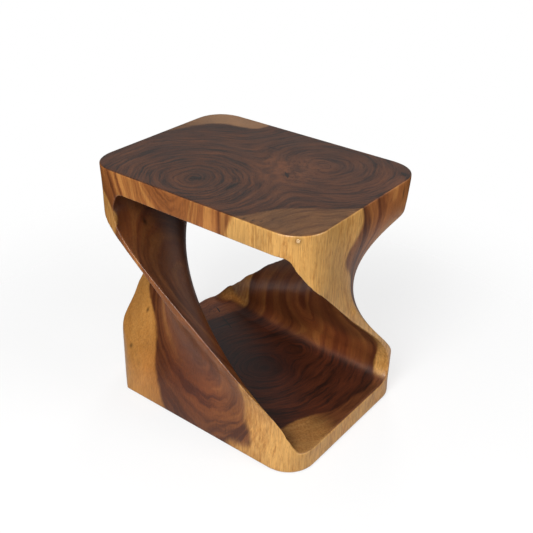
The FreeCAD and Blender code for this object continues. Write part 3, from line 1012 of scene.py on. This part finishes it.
class TABLE_OT_set_pads(bpy.types.Operator):
    """Press a felt pad into shape and set copies of it under the four corners"""

    bl_idname = "table.set_pads"
    bl_label = "Set Pads"

    def execute(self, context):
        settings = context.scene.table
        wool = felt(settings.inlays)
        first = self.press_pad(PADS[0], settings.carving.pad_rounding)
        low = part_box(PADS[0])[0]
        for name in PADS:
            pad = first
            if name != PADS[0]:
                pad = new_object(f"felt_{name}", first.data.copy())
                pad.data.transform(Matrix.Translation(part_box(name)[0] - low))
            dress(pad, wool, name)
        return {"FINISHED"}

    def press_pad(self, name, rounding):
        """One pad at its place: a disc whose rims are pressed round."""
        low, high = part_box(name)
        bpy.ops.object.select_all(action="DESELECT")
        bpy.ops.mesh.primitive_cylinder_add(
            vertices=PAD_SIDES, radius=(high.x - low.x) / 2, depth=high.z - low.z,
            location=(low + high) / 2)
        pad = bpy.context.object
        pad.name = f"felt_{name}"
        bpy.ops.object.transform_apply(location=True, rotation=True, scale=True)
        bpy.ops.object.mode_set(mode="EDIT")
        bpy.ops.mesh.select_mode(type="EDGE")
        mesh = bmesh.from_edit_mesh(pad.data)
        for edge in mesh.edges:
            edge.select_set(abs(edge.verts[0].co.z - edge.verts[1].co.z) < JOIN_REACH)
        bmesh.update_edit_mesh(pad.data)
        bpy.ops.mesh.bevel(offset=rounding, segments=PAD_STEPS)
        bpy.ops.object.mode_set(mode="OBJECT")
        bpy.ops.object.shade_smooth_by_angle(angle=PAD_CREASE)
        return pad


class TABLE_OT_set_studio(bpy.types.Operator):
    """Set the floor, the lamps and the camera"""

    bl_idname = "table.set_studio"
    bl_label = "Set Studio"

    def execute(self, context):
        studio = context.scene.table.studio
        self.lay_floor(studio)
        self.light_world(studio)
        for name in LAMPS:
            self.hang_lamp(name, getattr(studio, name))
        self.stand_camera(studio)
        context.scene.view_settings.view_transform = "Standard"
        return {"FINISHED"}

    def lay_floor(self, studio):
        """A pale disc that fades out before its rim."""
        bpy.ops.object.select_all(action="DESELECT")
        bpy.ops.mesh.primitive_circle_add(
            vertices=FLOOR_SIDES, radius=studio.floor_radius, fill_type="NGON", location=(0, 0, 0))
        floor = bpy.context.object
        floor.name = "studio_floor"
        paper = Finish(bpy.data.materials.new("studio_paper"))
        reach = paper.vector_math("LENGTH", {0: paper.object_place()}, "Value")
        camera = paper.add("ShaderNodeLightPath", None, None, "Is Camera Ray")
        white = paper.blend(camera, FLOOR_GREY, FLOOR_WHITE)
        lit = paper.add("ShaderNodeBsdfDiffuse", None, {"Color": white})
        glow = paper.add("ShaderNodeEmission", None, {"Strength": 1.0})
        pale = paper.add("ShaderNodeMixShader", None, {0: camera * FLOOR_GLOW, 1: lit, 2: glow})
        clear = paper.add("ShaderNodeBsdfTransparent")
        gone = reach.step(studio.fade_start, studio.fade_end)
        faded = paper.add("ShaderNodeMixShader", None, {0: gone, 1: pale, 2: clear})
        paper.add("ShaderNodeOutputMaterial", None, {"Surface": faded})
        floor.data.materials.append(paper.owner)

    def light_world(self, studio):
        """White to the camera, dim to the wood, with a sheen from behind and above."""
        air = Finish(bpy.data.worlds.new("studio"))
        bpy.context.scene.world = air.owner
        camera, glossy, clear = air.add(
            "ShaderNodeLightPath", None, None,
            ("Is Camera Ray", "Is Glossy Ray", "Is Transmission Ray"))
        facing = air.add("ShaderNodeTexCoord", None, None, "Generated")
        back, above = air.add("ShaderNodeSeparateXYZ", None, {0: facing}, ("Y", "Z"))
        sheen = glossy * back.step(*SHEEN_BACK) * above.step(*SHEEN_ABOVE) * studio.sheen
        seen = camera.math("MAXIMUM", clear).math("MAXIMUM", sheen)
        strength = studio.ambient * (1 - glossy) + seen * (1 - studio.ambient)
        background = air.add(
            "ShaderNodeBackground", None, {"Color": (1.0, 1.0, 1.0, 1.0), "Strength": strength})
        air.add("ShaderNodeOutputWorld", None, {"Surface": background})

    def hang_lamp(self, name, power):
        """A round soft lamp that faces the table."""
        place, width, shines = LAMPS[name]
        lamp = bpy.data.lights.new(f"{name}_lamp", "AREA")
        lamp.shape = "DISK"
        lamp.size = width
        lamp.energy = power
        hung = new_object(f"{name}_lamp", lamp)
        hung.visible_glossy = shines
        hung.location = place
        hung.rotation_euler = (LAMP_AIM - hung.location).to_track_quat("-Z", "Y").to_euler()

    def stand_camera(self, studio):
        camera = bpy.data.cameras.new("photo_camera")
        camera.lens = studio.lens
        stand = new_object("photo_camera", camera)
        turn = Vector(studio.aim).to_track_quat("-Z", "Y").to_matrix()
        turn = turn @ Matrix.Rotation(studio.roll, 3, "Z")
        stand.matrix_world = Matrix.Translation(studio.place) @ turn.to_4x4()
        bpy.context.scene.camera = stand


class TABLE_PT_steps(bpy.types.Panel):
    """Lists the steps and the settings of the table"""

    bl_idname = "TABLE_PT_steps"
    bl_label = "Carved Table"
    bl_space_type = "VIEW_3D"
    bl_region_type = "UI"
    bl_category = "Table"

    def draw(self, context):
        for step in STEPS:
            self.layout.operator(step.bl_idname)
        settings = context.scene.table
        for group in (settings.carving, settings.wood, settings.inlays, settings.studio):
            box = self.layout.box()
            for name in type(group).__annotations__:
                box.prop(group, name)


GROUPS = (CarvingSizes, WoodLook, InlayLook, StudioLook, TableSettings)
STEPS = (
    TABLE_OT_carve_body,
    TABLE_OT_set_fills,
    TABLE_OT_set_plug,
    TABLE_OT_set_pads,
    TABLE_OT_set_studio,
)


def register():
    for item in (*GROUPS, *STEPS, TABLE_PT_steps):
        bpy.utils.register_class(item)
    bpy.types.Scene.table = PointerProperty(type=TableSettings)


def unregister():
    del bpy.types.Scene.table
    for item in reversed((*GROUPS, *STEPS, TABLE_PT_steps)):
        bpy.utils.unregister_class(item)


def main():
    register()
    bpy.ops.table.carve_body()
    bpy.ops.table.set_fills()
    bpy.ops.table.set_plug()
    bpy.ops.table.set_pads()
    bpy.ops.table.set_studio()


if __name__ == "__main__":
    main()
